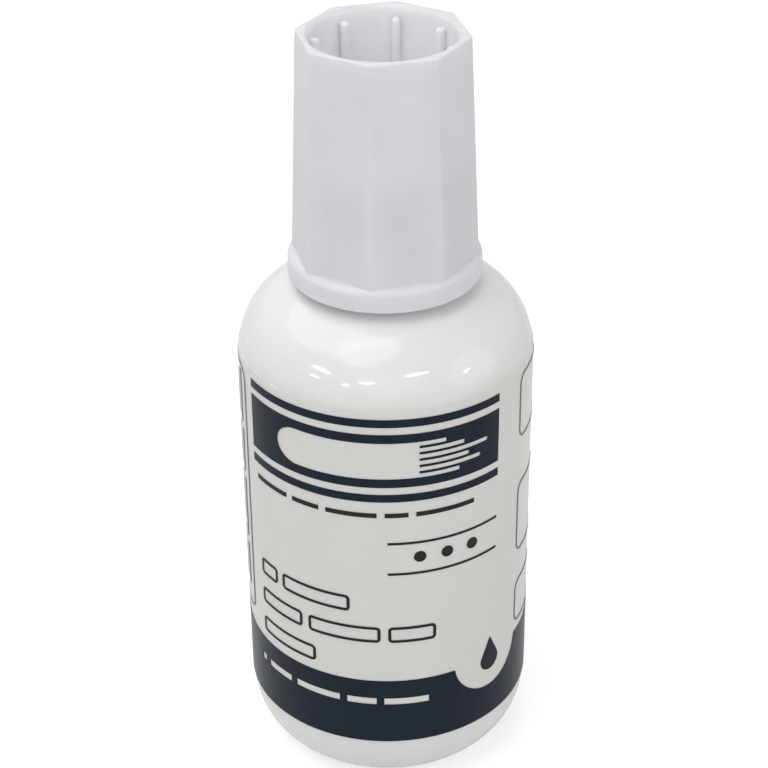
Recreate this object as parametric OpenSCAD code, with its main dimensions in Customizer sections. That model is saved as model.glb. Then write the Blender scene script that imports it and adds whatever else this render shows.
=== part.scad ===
// A 20 ml correction fluid bottle: blown bottle with a wrap label, screw cap and brush.
// The origin is the centre of the foot, +Z runs up the bottle, and -Y is the front of the label.

/* [Bottle] */
// Outer diameter of the bottle's side
body_d = 29; // [28:0.5:30]
// Height at which the straight side runs into the shoulder
side_top = 46; // [44:0.5:48]
// Radius of the round between the side and the foot
foot_round = 6.8; // [6.5:0.1:7]
// Radius of the shoulder
shoulder_round = 7.5; // [7:0.1:8]
// Wall thickness of the bottle
bottle_wall = 1.1; // [0.9:0.1:1.3]
// Depth of the hollow under the foot
foot_hollow = 0.5; // [0.3:0.1:0.8]
// Diameter of the hollow under the foot
foot_hollow_d = 11; // [10:0.5:12]

/* [Neck] */
// Outer diameter of the neck below its thread
neck_d = 12; // [11.6:0.1:12.2]
// Height of the neck above the shoulder
neck_h = 10.5; // [10:0.1:11]
// Diameter of the neck's bore
neck_bore_d = 9.8; // [9.4:0.1:10]
// Diameter of the bead round the foot of the neck
neck_bead_d = 13.2; // [12.8:0.1:13.3]

/* [Wiper] */
// Diameter of the opening that strips the brush
wiper_hole_d = 4.8; // [4.6:0.1:5.2]
// Depth of the wiper below the lip of the neck
wiper_depth = 7; // [5:0.5:9]
// Thickness of the wiper's flange
wiper_flange_t = 0.7; // [0.5:0.1:0.9]

/* [Cap] */
// Height of the whole cap
cap_h = 24.1; // [23.6:0.1:25]
// Gap between the cap's skirt and the shoulder
skirt_gap = 0.9; // [0.7:0.1:1.1]
// Diameter of the round skirt
skirt_d = 18.8; // [18.4:0.1:19]
// Height of the skirt
skirt_h = 2.3; // [2:0.1:2.6]
// Width across the grip's flats at its foot
grip_foot_w = 16.9; // [16.6:0.1:17.1]
// Width across the grip's flats at the rim
grip_rim_w = 15.2; // [14.9:0.1:15.4]
// How far the round of the eight corners stands past the flats
corner_proud = 0.55; // [0.4:0.05:0.6]
// Direction of the first corner of the grip, in degrees
corner_at = 36.5; // [0:0.5:45]
// Direction of the first rib in the well, in degrees
rib_at = 34; // [0:0.5:45]
// Diameter of the open well at the rim
well_rim_d = 13.7; // [13.4:0.1:13.8]
// Diameter of the open well at its floor
well_floor_d = 13.1; // [12.8:0.1:13.3]
// Depth of the ribs' tops below the rim
rib_drop = 1; // [0.8:0.1:2]
// Width of a rib
rib_w = 0.8; // [0.7:0.1:1.1]
// Diameter of the socket that takes the neck
socket_d = 13.9; // [13.9:0.1:14]
// Thickness of the deck between the socket and the well
deck_t = 1.2; // [1:0.1:1.5]
// Thickness of the sealing washer
liner_t = 0.9; // [0.7:0.1:1]

/* [Brush] */
// Diameter of the stem's plug, pressed into the cap
plug_d = 3.2; // [3:0.1:3.4]
// Diameter of the stem
stem_d = 2.4; // [2.2:0.1:2.8]
// Diameter of the holder at the stem's lower end
holder_d = 3.4; // [3.2:0.1:3.6]
// Height of the bristles' tip above the table
tip_z = 5.2; // [5:0.1:7]
// Free length of the bristles
bristle_len = 12.5; // [10:0.5:14]
// Diameter of the bristles where they leave the holder
tuft_root_d = 2.4; // [2.2:0.1:2.6]
// Widest diameter of the bristles
tuft_d = 3.8; // [3.4:0.1:4]

/* [Contents] */
// Height of the fluid's surface above the table
fluid_top = 39.1; // [34:0.1:41]
// Diameter of the steel mixing ball
ball_d = 5; // [4.5:0.1:5.2]
// Direction in which the mixing ball lies, in degrees
ball_turn = 35; // [0:5:355]
// Gap that the fluid keeps to the brush and the ball
fluid_gap = 0.4; // [0.3:0.05:0.5]

/* [Label] */
// Lower edge of the label
label_foot = 7.2; // [7.1:0.1:8]
// Upper edge of the label
label_top = 47; // [46.8:0.1:47.4]
// Thickness of the label
label_t = 0.08; // [0.06:0.01:0.12]
// Thickness of the ink
ink_t = 0.04; // [0.03:0.01:0.05]
// Left end of the title block, in degrees from the front
block_left = -62.8; // [-66:0.1:-58]
// Right end of the title block, in degrees from the front
block_right = 47.3; // [45:0.1:55]
// Lower edge of the title block
block_foot = 38.5; // [38:0.1:39]
// Upper edge of the title block
block_top = 44.4; // [44:0.1:44.8]
// Height of the stripes above and below the title block
stripe_h = 0.85; // [0.6:0.05:0.9]
// White gap between a stripe and the title block
stripe_gap = 0.8; // [0.6:0.05:0.9]
// Upper edge of the band round the foot of the label
band_top = 15.2; // [15:0.1:15.6]
// Direction of the round window in the band, in degrees from the front
window_at = 45; // [40:1:50]
// Radius of the round window
window_r = 4.45; // [4.2:0.05:4.6]

/* [Hidden] */
$fn = 96;
// Depth by which solids of one piece run into each other
bite = 0.2;
// Length by which a cutter stands past what it cuts
past = 1;

// Heights from the table up
body_r = body_d / 2;
neck_foot = side_top + shoulder_round;
neck_top = neck_foot + neck_h;
wiper_top = neck_top + wiper_flange_t;
deck_foot = wiper_top + liner_t;
deck_top = deck_foot + deck_t;
skirt_foot = neck_foot + skirt_gap;
rim_z = skirt_foot + cap_h;

// The inner floor is raised over the hollow under the foot
floor_rise_r = foot_hollow_d / 2 + bottle_wall;
floor_rise_z = foot_hollow + bottle_wall;

// The label wraps round to a narrow gap at the back
front = 270;
label_r = body_r + label_t;
ink_foot_r = label_r + 0.02;
ink_r = ink_foot_r + ink_t;
label_sweep = 358;
band_sweep = 356;
band_foot = label_foot + 0.2;

// The ball lies on the floor, against the edge of the raised part
ball_r = ball_d / 2;
ball_z = bottle_wall + ball_r + 0.05;
ball_at = floor_rise_r + sqrt(pow(ball_r, 2) - pow(ball_z - floor_rise_z, 2)) + 0.12;

// Grip of the cap
flats = 8;
flat_turn = 360 / flats;
grip_foot = skirt_foot + skirt_h;
grip_h = rim_z - grip_foot;
grip_lean = atan((grip_foot_w - grip_rim_w) / 2 / grip_h);
plug_top = deck_top + 2;

// Holder of the brush, and the hole in it that takes the folded bristles
holder_foot = tip_z + bristle_len;
holder_h = 5.5;
holder_taper = 2;
root_depth = 3.5;
anchor_w = 2;
anchor_t = 0.3;
anchor_h = 1.5;
anchor_z = holder_foot + root_depth - anchor_h;

// Half outline of the closed body, drawn in by inset on every side
module body_half(inset) {
    r = body_r - inset;
    foot_r = foot_round - inset;
    top_r = shoulder_round - inset;
    translate([0, foot_round]) square([r, side_top - foot_round]);
    translate([0, inset]) square([r - foot_r, foot_r + bite]);
    translate([0, side_top - bite]) square([r - top_r, top_r + bite]);
    translate([r - foot_r, foot_round]) quarter(foot_r, 1, -1);
    translate([r - top_r, side_top]) quarter(top_r, 1, 1);
}

// A quarter of a disc, in the corner that the two signs give
module quarter(r, side, up) {
    intersection() {
        circle(r = r);
        translate([side > 0 ? 0 : -r, up > 0 ? 0 : -r]) square(r);
    }
}

module neck_outside() {
    bead_z = neck_foot + 1.2;
    translate([0, 0, neck_foot - bite]) cylinder(h = neck_h + bite, d = neck_d);
    translate([0, 0, bead_z]) rotate_extrude() {
        square([neck_bead_d / 2 - 0.4, 0.8]);
        translate([neck_bead_d / 2 - 0.4, 0.4]) circle(r = 0.4);
    }
}

// The hollow under the foot leaves a ring that the bottle stands on
module foot_dish(depth, d) {
    translate([0, 0, -past]) cylinder(h = past + depth, d = d);
}

module bottle() {
    color("whitesmoke") difference() {
        union() {
            rotate_extrude() body_half(0);
            neck_outside();
        }
        difference() {
            rotate_extrude() body_half(bottle_wall);
            foot_dish(floor_rise_z, 2 * floor_rise_r);
        }
        translate([0, 0, neck_foot - bottle_wall - bite])
            cylinder(h = neck_h + bottle_wall + bite + past, d = neck_bore_d);
        foot_dish(foot_hollow, foot_hollow_d);
    }
}

// The white label leaves a narrow gap at the back, and its top edge leans in with the shoulder
module label() {
    color("white") rotate([0, 0, front - label_sweep / 2])
        rotate_extrude(angle = label_sweep) intersection() {
            difference() {
                body_half(-label_t);
                body_half(0);
            }
            translate([body_r - 1, label_foot]) square([2, label_top - label_foot]);
        }
}

// A patch of ink between two directions and two heights
module patch(left, right, foot, top) {
    ring_patch(left, right, foot, top, ink_foot_r, ink_r);
}

module ring_patch(left, right, foot, top, r1, r2) {
    rotate([0, 0, front + left])
        rotate_extrude(angle = right - left)
            translate([r1, foot]) square([r2 - r1, top - foot]);
}

// A flat outline pushed outwards through the label's face at a direction and height
module push_out(at, z) {
    rotate([0, 0, front + at]) translate([body_r - 6, 0, z])
        rotate([90, 0, 90]) linear_extrude(height = 8) children();
}

// A flat outline in ink on the label's face
module stamp(at, z, reach_z = 6) {
    reach_deg = 50;
    intersection() {
        patch(at - reach_deg, at + reach_deg, z - reach_z, z + reach_z);
        push_out(at, z) children();
    }
}

// One sweep of a loaded brush, which ends in dry streaks
module brush_sweep() {
    sweep_h = 4;
    start = -7;
    dry = 4;
    streak_h = 0.45;
    streak_ends = [8.6, 10.4, 9.4, 11, 9, 7.4];
    pitch = (sweep_h - streak_h) / (len(streak_ends) - 1);
    translate([start, 0]) circle(d = sweep_h);
    translate([start, -sweep_h / 2]) square([dry - start + 1, sweep_h]);
    for (i = [0 : len(streak_ends) - 1])
        translate([dry, pitch * i - sweep_h / 2]) square([streak_ends[i] - dry, streak_h]);
}

function sum_to(list, n) = n == 0 ? 0 : list[n - 1] + sum_to(list, n - 1);

// A row of plain bars, in degrees of length, that stands where small print would be
module row(left, z, h, lengths, gap) {
    for (i = [0 : len(lengths) - 1]) {
        start = left + gap * i + sum_to(lengths, i);
        patch(start, start + lengths[i], z - h / 2, z + h / 2);
    }
}

module label_print() {
    color("#2f3a4c") {
        title_block();
        difference() {
            patch(-band_sweep / 2, band_sweep / 2, band_foot, band_top);
            window_cut();
            band_bars();
        }
        drop();
    }
}

module title_block() {
    lower_stripe = block_foot - stripe_gap - stripe_h;
    upper_stripe = block_top + stripe_gap;
    for (z = [lower_stripe, upper_stripe]) patch(block_left, block_right, z, z + stripe_h);
    difference() {
        patch(block_left, block_right, block_foot, block_top);
        push_out((block_left + block_right) / 2, (block_foot + block_top) / 2) brush_sweep();
    }
}

module window_cut() {
    push_out(window_at, band_top + 0.55) circle(r = window_r);
}

// The light bars in the band reach right through the ink
module band_bars() {
    bars = [3, 14, 20, 12, 18];
    gap = 3;
    foot = 12.2;
    bar_h = 0.8;
    for (i = [0 : len(bars) - 1]) {
        start = block_left + gap * i + sum_to(bars, i);
        ring_patch(start, start + bars[i], foot, foot + bar_h, label_r - bite, ink_r + bite);
    }
}

// A row of open bars, in degrees of length, that stands where large print would be
module open_row(left, z, h, lengths, gap) {
    for (i = [0 : len(lengths) - 1]) {
        middle = left + gap * i + sum_to(lengths, i) + lengths[i] / 2;
        frame(middle, z, 2 * ink_r * sin(lengths[i] / 2), h, h / 4, 0.3);
    }
}

// An upright column of plain bars, in millimetres of length
module column(at, w, foot, lengths, gap) {
    for (i = [0 : len(lengths) - 1]) {
        start = foot + gap * i + sum_to(lengths, i);
        patch(at - w / 2, at + w / 2, start, start + lengths[i]);
    }
}

// A drop in the round window
module drop() {
    r = 1.25;
    stamp(window_at, band_top - 0.6) {
        circle(r = r);
        polygon([[-0.9 * r, 0.44 * r], [0, 2.3 * r], [0.9 * r, 0.44 * r]]);
    }
}

// A rectangle with round corners, about the origin
module round_rect(w, h, r) {
    square([w - 2 * r, h], center = true);
    square([w, h - 2 * r], center = true);
    for (x = [-1, 1], y = [-1, 1]) translate([x * (w / 2 - r), y * (h / 2 - r)]) circle(r = r);
}

// A thin frame with round corners, centred on a direction and height
module frame(at, z, w, h, round_r = 1.2, line = 0.2) {
    stamp(at, z, h / 2 + past) difference() {
        round_rect(w, h, round_r);
        round_rect(w - 2 * line, h - 2 * line, round_r - line);
    }
}

module label_marks() {
    color("#4a4c50") {
        title_rows();
        dots_and_rules();
        side_frames();
        small_columns();
        small_rows();
    }
}

// The line under the title block and the three large lines on the left
module title_rows() {
    left = -60;
    line_h = 1.9;
    gap = 3;
    row(left, 35.3, 0.5, [18, 12, 20, 9, 24], gap);
    open_row(left, 24.6, line_h, [11, 31], gap);
    open_row(left, 21, line_h, [24, 30, 19], gap);
    open_row(left, 17.3, line_h, [30], gap);
}

// Three round dots between two thin rules, right of the front
module dots_and_rules() {
    left = 0;
    right = 47;
    for (i = [-1 : 1]) stamp((left + right) / 2 + 11 * i, 30.3) circle(r = 0.62);
    for (z = [28.4, 32]) patch(left, right, z - 0.13, z + 0.13);
}

module side_frames() {
    right_at = 76.8;
    right_w = 7.2;
    frame(right_at, 42.5, right_w, 7.4);
    frame(right_at, 29.4, right_w, 8.4);
    frame(right_at, 18.9, right_w, 5.4);
    frame(-113, 31.5, 20, 29);
}

// Small print that runs up the label inside the left frame
module small_columns() {
    for (i = [0 : 9]) column(-77 - 7.6 * i, 1.7, 19.5, [5 + i % 3, 7 - i % 2, 5, 6 - i % 3], 0.9);
}

module small_rows() {
    for (i = [0 : 11]) row(98, 44.2 - 2.3 * i, 0.45, [22, 14, 20 - 3 * (i % 2)], 3);
}

// A cup pressed into the neck, whose thin floor strips the brush
module neck_wiper() {
    lip_t = 0.7;
    tube_t = 0.9;
    plug_foot = neck_top - wiper_depth;
    color("gainsboro") difference() {
        union() {
            translate([0, 0, plug_foot]) cylinder(h = wiper_depth, d = neck_bore_d);
            translate([0, 0, neck_top]) cylinder(h = wiper_flange_t, d = neck_d - 0.2);
        }
        translate([0, 0, plug_foot + lip_t])
            cylinder(h = wiper_depth + wiper_flange_t, d = neck_bore_d - 2 * tube_t);
        translate([0, 0, plug_foot - past]) cylinder(h = lip_t + 2 * past, d = wiper_hole_d);
    }
}

module mixing_ball() {
    color("silver") rotate([0, 0, ball_turn]) translate([ball_at, 0, ball_z]) sphere(r = ball_r);
}

// The fluid fills the bottle to its level and leaves room for the brush and the ball
module correction_fluid() {
    clear = 0.05;
    ball_room_r = ball_r + fluid_gap;
    color("white") difference() {
        intersection() {
            rotate_extrude() body_half(bottle_wall + clear);
            cylinder(h = fluid_top, r = body_r);
        }
        foot_dish(floor_rise_z + clear, 2 * (floor_rise_r + clear));
        translate([0, 0, tip_z - fluid_gap]) cylinder(h = fluid_top, d = tuft_d + 2 * fluid_gap);
        rotate([0, 0, ball_turn]) translate([ball_at, 0, ball_z]) {
            sphere(r = ball_room_r);
            translate([0, 0, -ball_z]) cylinder(h = ball_z, r = ball_room_r);
        }
    }
}

// Round tapered blank, cut to eight leaning flats and eased round the rim
module grip() {
    foot_r = grip_foot_w / 2;
    rim_r = grip_rim_w / 2;
    ease = 0.2;
    cut = 4;
    translate([0, 0, grip_foot]) difference() {
        translate([0, 0, -past])
            cylinder(h = grip_h + past, r1 = foot_r + corner_proud + past * tan(grip_lean),
                     r2 = rim_r + corner_proud);
        for (i = [0 : flats - 1]) rotate([0, 0, corner_at + (i + 0.5) * flat_turn]) {
            translate([foot_r, 0, 0]) rotate([0, -grip_lean, 0])
                translate([0, -foot_r, -cut]) cube([cut, 2 * foot_r, grip_h + 2 * cut]);
            translate([rim_r - ease, 0, grip_h]) rotate([0, 45, 0])
                translate([-cut, -foot_r, 0]) cube([2 * cut, 2 * foot_r, cut]);
        }
    }
}

// The round collar at the foot of the cap, with a rounded upper edge
module skirt() {
    ease = 0.7;
    r = skirt_d / 2;
    translate([0, 0, skirt_foot]) rotate_extrude() {
        square([r, skirt_h - ease]);
        square([r - ease, skirt_h]);
        translate([r - ease, skirt_h - ease]) quarter(ease, 1, 1);
    }
}

// The drafted well, which flares at its mouth
module well_space() {
    mouth_h = 0.8;
    mouth_r = well_rim_d / 2 + 0.35;
    rotate_extrude() polygon([
        [0, deck_top], [well_floor_d / 2, deck_top], [well_rim_d / 2, rim_z - mouth_h],
        [mouth_r, rim_z], [mouth_r, rim_z + past], [0, rim_z + past]]);
}

// A rib with a round nose and a round top, on the wall of the well
module rib() {
    nose_r = rib_w / 2;
    nose_at = well_floor_d / 2 - 0.25;
    depth = well_rim_d / 2 + 0.4 - nose_at;
    rib_h = rim_z - rib_drop - nose_r - deck_top;
    translate([nose_at, 0, deck_top]) {
        translate([0, 0, -bite]) cylinder(h = rib_h + bite, r = nose_r);
        translate([0, -nose_r, -bite]) cube([depth, rib_w, rib_h + bite]);
        translate([0, 0, rib_h]) sphere(r = nose_r);
        translate([0, 0, rib_h]) rotate([0, 90, 0]) cylinder(h = depth, r = nose_r);
    }
}

// The blind boss on the well's floor that grips the plug of the stem
module boss() {
    roof = 1;
    boss_d = plug_d + 2;
    translate([0, 0, deck_top - bite]) cylinder(h = plug_top + roof - deck_top + bite, d = boss_d);
}

module cap() {
    lead_in = 1.5;
    lead_in_d = socket_d + 1.6;
    color("#d3d5da") difference() {
        union() {
            difference() {
                union() {
                    grip();
                    skirt();
                }
                well_space();
            }
            for (i = [0 : flats - 1]) rotate([0, 0, rib_at + i * flat_turn]) rib();
            boss();
        }
        translate([0, 0, skirt_foot - past]) cylinder(h = deck_foot - skirt_foot + past, d = socket_d);
        translate([0, 0, skirt_foot - past]) cylinder(h = past + lead_in, d = lead_in_d);
        translate([0, 0, deck_foot - past]) cylinder(h = plug_top - deck_foot + past, d = plug_d);
    }
}

module cap_liner() {
    color("ivory") translate([0, 0, wiper_top]) difference() {
        cylinder(h = liner_t, d = socket_d - 0.4);
        translate([0, 0, -past]) cylinder(h = liner_t + 2 * past, d = plug_d + 0.6);
    }
}

module brush_stem() {
    stem_foot = holder_foot + holder_h;
    color("gainsboro") difference() {
        union() {
            translate([0, 0, wiper_top]) cylinder(h = plug_top - wiper_top, d = plug_d);
            translate([0, 0, stem_foot]) cylinder(h = wiper_top - stem_foot + bite, d = stem_d);
            translate([0, 0, stem_foot - holder_taper])
                cylinder(h = holder_taper, d1 = holder_d, d2 = stem_d);
            translate([0, 0, holder_foot]) cylinder(h = holder_h - holder_taper, d = holder_d);
        }
        translate([0, 0, holder_foot - past]) cylinder(h = root_depth + past, d = tuft_root_d);
    }
}

// The tuft is one solid: a root in the holder, a belly and a tapered tip
module brush_bristles() {
    root_r = tuft_root_d / 2;
    belly_r = tuft_d / 2;
    belly_z = tip_z + bristle_len * 0.45;
    near_belly_r = belly_r * 0.93;
    root_z = holder_foot + root_depth;
    color("whitesmoke") difference() {
        rotate_extrude() polygon([
            [0, tip_z], [0.7, tip_z], [belly_r * 0.72, tip_z + 1.6], [near_belly_r, tip_z + 3.4],
            [belly_r, belly_z], [near_belly_r, belly_z + 2.6],
            [root_r, holder_foot], [root_r, root_z], [0, root_z]]);
        anchor_block(anchor_h + past);
    }
}

// The flat wire that holds the folded bristles in their hole
module brush_anchor() {
    color("goldenrod") anchor_block(anchor_h);
}

module anchor_block(h) {
    translate([-anchor_w / 2, -anchor_t / 2, anchor_z]) cube([anchor_w, anchor_t, h]);
}

bottle();
label();
label_print();
label_marks();
neck_wiper();
mixing_ball();
correction_fluid();
cap();
cap_liner();
brush_stem();
brush_bristles();
brush_anchor();
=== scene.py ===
from math import cos, pi, radians, sin, sqrt

import bmesh
import bpy
import numpy as np
from mathutils import Matrix, Vector


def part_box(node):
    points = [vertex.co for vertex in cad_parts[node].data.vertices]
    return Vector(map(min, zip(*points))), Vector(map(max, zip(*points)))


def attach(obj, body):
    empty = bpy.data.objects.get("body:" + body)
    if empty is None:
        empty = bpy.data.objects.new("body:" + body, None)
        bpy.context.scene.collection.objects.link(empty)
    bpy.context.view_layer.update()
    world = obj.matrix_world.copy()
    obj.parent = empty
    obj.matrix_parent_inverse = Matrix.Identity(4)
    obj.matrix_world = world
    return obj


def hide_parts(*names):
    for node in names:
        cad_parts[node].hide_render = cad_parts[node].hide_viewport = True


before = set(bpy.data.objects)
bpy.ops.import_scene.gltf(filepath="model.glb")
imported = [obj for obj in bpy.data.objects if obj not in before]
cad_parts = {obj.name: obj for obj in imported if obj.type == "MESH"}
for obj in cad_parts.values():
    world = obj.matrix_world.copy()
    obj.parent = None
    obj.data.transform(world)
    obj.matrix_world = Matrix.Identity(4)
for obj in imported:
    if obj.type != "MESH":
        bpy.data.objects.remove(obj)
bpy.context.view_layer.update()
scene = bpy.context.scene
mm = 0.001  # sizes are in millimetres until a vertex or a node takes them, and the studio is in metres
fullTurn = 2 * pi
onAxis = 1e-6  # a radius below this is a pole


def nodeBox(name):
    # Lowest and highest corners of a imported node, in millimetres
    lowest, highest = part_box(name)
    return [v / mm for v in lowest], [v / mm for v in highest]


print("camera")
cameraView = {
    "place": (0.0, -177.5, 147.23),
    "aside": -0.067,  # degrees to the right of straight on
    "down": 30.838,
    "roll": -0.53,
    "lens": 96.86,
}


def makeCamera(view):
    aside, down, roll = (radians(view[k]) for k in ("aside", "down", "roll"))
    ahead = Vector((sin(aside) * cos(down), cos(aside) * cos(down), -sin(down)))
    level = ahead.cross(Vector((0, 0, 1))).normalized()
    above = level.cross(ahead)
    right = level * cos(roll) + above * sin(roll)
    up = above * cos(roll) - level * sin(roll)
    data = bpy.data.cameras.new("camera")
    data.lens = view["lens"]
    camera = bpy.data.objects.new("camera", data)
    scene.collection.objects.link(camera)
    turn = Matrix((right, up, -ahead)).transposed().to_4x4()
    camera.matrix_world = Matrix.Translation(Vector(view["place"]) * mm) @ turn
    scene.camera = camera


makeCamera(cameraView)

print("mesh helpers")


def addObject(name, mesh):
    piece = bpy.data.objects.new(name, mesh)
    scene.collection.objects.link(piece)
    return piece


def closeMesh(mesh, sharpAbove=38):
    # Merges doubles, turns the faces outwards and smooths all but the sharp edges
    shape = bmesh.new()
    shape.from_mesh(mesh)
    bmesh.ops.remove_doubles(shape, verts=shape.verts, dist=1e-7)
    bmesh.ops.dissolve_degenerate(shape, edges=shape.edges, dist=1e-8)
    bmesh.ops.recalc_face_normals(shape, faces=shape.faces)
    shape.to_mesh(mesh)
    shape.free()
    mesh.shade_smooth()
    mesh.set_sharp_from_angle(angle=radians(sharpAbove))
    return mesh


def arc(centre, radius, fromDeg, toDeg, steps):
    # Points (r, z) along an arc of a profile
    turns = [radians(fromDeg + (toDeg - fromDeg) * i / steps) for i in range(steps + 1)]
    return [(centre[0] + radius * cos(t), centre[1] + radius * sin(t)) for t in turns]


def roundOff(corners, steps=5):
    # A profile from corners (r, z, round), each rounded where it asks for it
    points = []
    for i, (r, z, size) in enumerate(corners):
        here = Vector((r, z))
        if size <= 0 or i in (0, len(corners) - 1):
            points.append((r, z))
            continue
        back = Vector(corners[i - 1][:2]) - here
        onward = Vector(corners[i + 1][:2]) - here
        reach = min(size, 0.49 * back.length, 0.49 * onward.length)
        start = here + back.normalized() * reach
        end = here + onward.normalized() * reach
        for s in range(steps + 1):
            t = s / steps
            p = start * (1 - t) ** 2 + here * 2 * t * (1 - t) + end * t ** 2
            points.append((p.x, p.y))
    return points


def lathe(name, profile, columns=192, bulge=None):
    # Turns a profile that runs outwards, up and back in; a radius of 0 makes a pole
    rings = []
    verts = []
    for r, z in profile:
        if r < onAxis:
            rings.append([len(verts)] * columns)
            verts.append((0, 0, z * mm))
            continue
        ring = []
        for j in range(columns):
            a = fullTurn * j / columns
            rr = r + (bulge(a, r, z) if bulge else 0)
            ring.append(len(verts))
            verts.append((rr * cos(a) * mm, rr * sin(a) * mm, z * mm))
        rings.append(ring)
    faces = []
    closed = rings[0][0] == rings[0][-1] and rings[-1][0] == rings[-1][-1]
    pairs = list(zip(rings, rings[1:])) + ([] if closed else [(rings[-1], rings[0])])
    for low, high in pairs:
        for j in range(columns):
            k = (j + 1) % columns
            loop = [low[j], low[k], high[k], high[j]]
            faces.append([v for i, v in enumerate(loop) if v != loop[i - 1]])
    mesh = bpy.data.meshes.new(name)
    mesh.from_pydata(verts, [], faces)
    return mesh


def curvedSheet(name, left, right, section, steps):
    # A closed sheet bent round the axis, between two directions in degrees, from its section (r, z)
    n = len(section)
    verts = []
    faces = []
    for i in range(steps + 1):
        a = radians(left + (right - left) * i / steps)
        verts += [(r * cos(a) * mm, r * sin(a) * mm, z * mm) for r, z in section]
    for i in range(steps):
        for j in range(n):
            k = (j + 1) % n
            faces.append([n * i + j, n * i + k, n * i + n + k, n * i + n + j])
    faces.append(list(range(n)))
    faces.append([n * steps + j for j in range(n)][::-1])
    mesh = bpy.data.meshes.new(name)
    mesh.from_pydata(verts, [], faces)
    return mesh


def mergedCopy(node):
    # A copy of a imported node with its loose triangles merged, for smooth shading
    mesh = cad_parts[node].data.copy()
    mesh.materials.clear()
    return closeMesh(mesh)


print("shared effects")


def newGroup(name, kind, inputs, outputs):
    group = bpy.data.node_groups.new(name, kind)
    for label, socket, value in inputs:
        made = group.interface.new_socket(label, in_out="INPUT", socket_type=socket)
        if value is not None:
            made.default_value = value
    for label, socket in outputs:
        group.interface.new_socket(label, in_out="OUTPUT", socket_type=socket)
    return group


def addNode(tree, kind, settings=None, values=None, links=None):
    # One node, with its settings, its sockets' values and the sockets that feed it
    node = tree.nodes.new(kind)
    for key, value in (settings or {}).items():
        setattr(node, key, value)
    for key, value in (values or {}).items():
        node.inputs[key].default_value = value
    for key, source in (links or {}).items():
        tree.links.new(source, node.inputs[key])
    return node


def mathNode(tree, operation, *terms):
    # A Math node fed by sockets or plain numbers; returns its output
    node = addNode(tree, "ShaderNodeMath", {"operation": operation})
    for i, term in enumerate(terms):
        if isinstance(term, (int, float)):
            node.inputs[i].default_value = term
        else:
            tree.links.new(term, node.inputs[i])
    return node.outputs[0]


def clamped(tree, value):
    return addNode(tree, "ShaderNodeClamp", links={"Value": value}).outputs[0]


floatSocket = "NodeSocketFloat"
vectorSocket = "NodeSocketVector"


def makeMouldGrain():
    # Fine pitting of moulded plastic with a broad, faint unevenness under it
    group = newGroup("mouldGrain", "ShaderNodeTree",
                     [("Vector", vectorSocket, None), ("Grain Scale", floatSocket, 9000.0),
                      ("Wave Scale", floatSocket, 160.0), ("Wave Share", floatSocket, 0.5)],
                     [("Height", floatSocket), ("Tone", floatSocket)])
    start = addNode(group, "NodeGroupInput")
    grain = addNode(group, "ShaderNodeTexNoise", values={"Detail": 2.0},
                    links={"Vector": start.outputs["Vector"], "Scale": start.outputs["Grain Scale"]})
    wave = addNode(group, "ShaderNodeTexNoise", values={"Detail": 1.0},
                   links={"Vector": start.outputs["Vector"], "Scale": start.outputs["Wave Scale"]})
    mixed = addNode(group, "ShaderNodeMix", {"data_type": "FLOAT"},
                    links={0: start.outputs["Wave Share"], 2: grain.outputs["Fac"], 3: wave.outputs["Fac"]})
    end = addNode(group, "NodeGroupOutput")
    group.links.new(mixed.outputs[0], end.inputs["Height"])
    group.links.new(wave.outputs["Fac"], end.inputs["Tone"])
    return group


def makeHandling():
    # Faint smears of handling, which vary the gloss
    group = newGroup("handling", "ShaderNodeTree",
                     [("Vector", vectorSocket, None), ("Scale", floatSocket, 90.0),
                      ("Least", floatSocket, 0.25), ("Most", floatSocket, 0.35)],
                     [("Roughness", floatSocket)])
    start = addNode(group, "NodeGroupInput")
    stretch = addNode(group, "ShaderNodeMapping", values={"Scale": (1.0, 1.0, 0.35)},
                      links={"Vector": start.outputs["Vector"]})
    smear = addNode(group, "ShaderNodeTexNoise", values={"Detail": 3.0, "Distortion": 0.2},
                    links={"Vector": stretch.outputs[0], "Scale": start.outputs["Scale"]})
    spread = addNode(group, "ShaderNodeMapRange", values={"From Min": 0.3, "From Max": 0.7},
                     links={"Value": smear.outputs["Fac"], "To Min": start.outputs["Least"],
                            "To Max": start.outputs["Most"]})
    end = addNode(group, "NodeGroupOutput")
    group.links.new(spread.outputs[0], end.inputs["Roughness"])
    return group


def makeNearAxis():
    # 1 near the axis and above a height: the mask for painted light, a paler colour standing in for light
    #                                     that shines through the walls into the shade there
    group = newGroup("nearAxis", "ShaderNodeTree",
                     [("Vector", vectorSocket, None), ("Radius", floatSocket, 0.007),
                      ("Height", floatSocket, 0.06), ("Softness", floatSocket, 0.001)],
                     [("Mask", floatSocket)])
    start = addNode(group, "NodeGroupInput")
    flat = addNode(group, "ShaderNodeVectorMath", {"operation": "MULTIPLY"}, {1: (1.0, 1.0, 0.0)},
                   {0: start.outputs["Vector"]})
    radius = addNode(group, "ShaderNodeVectorMath", {"operation": "LENGTH"}, links={0: flat.outputs[0]})
    height = addNode(group, "ShaderNodeSeparateXYZ", links={0: start.outputs["Vector"]})
    softness = start.outputs["Softness"]
    inside = mathNode(group, "DIVIDE", mathNode(group, "SUBTRACT", start.outputs["Radius"],
                                                radius.outputs["Value"]), softness)
    above = mathNode(group, "DIVIDE", mathNode(group, "SUBTRACT", height.outputs["Z"],
                                               start.outputs["Height"]), softness)
    both = addNode(group, "ShaderNodeMath", {"operation": "MULTIPLY", "use_clamp": True}, links={
        0: clamped(group, inside), 1: clamped(group, above)})
    end = addNode(group, "NodeGroupOutput")
    group.links.new(both.outputs[0], end.inputs["Mask"])
    return group


mouldGrain = makeMouldGrain()
handling = makeHandling()
nearAxis = makeNearAxis()


def useGroup(tree, group, vector, **values):
    node = addNode(tree, "ShaderNodeGroup", {"node_tree": group})
    tree.links.new(vector, node.inputs["Vector"])
    for key, value in values.items():
        node.inputs[key.replace("_", " ")].default_value = value
    return node


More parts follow.
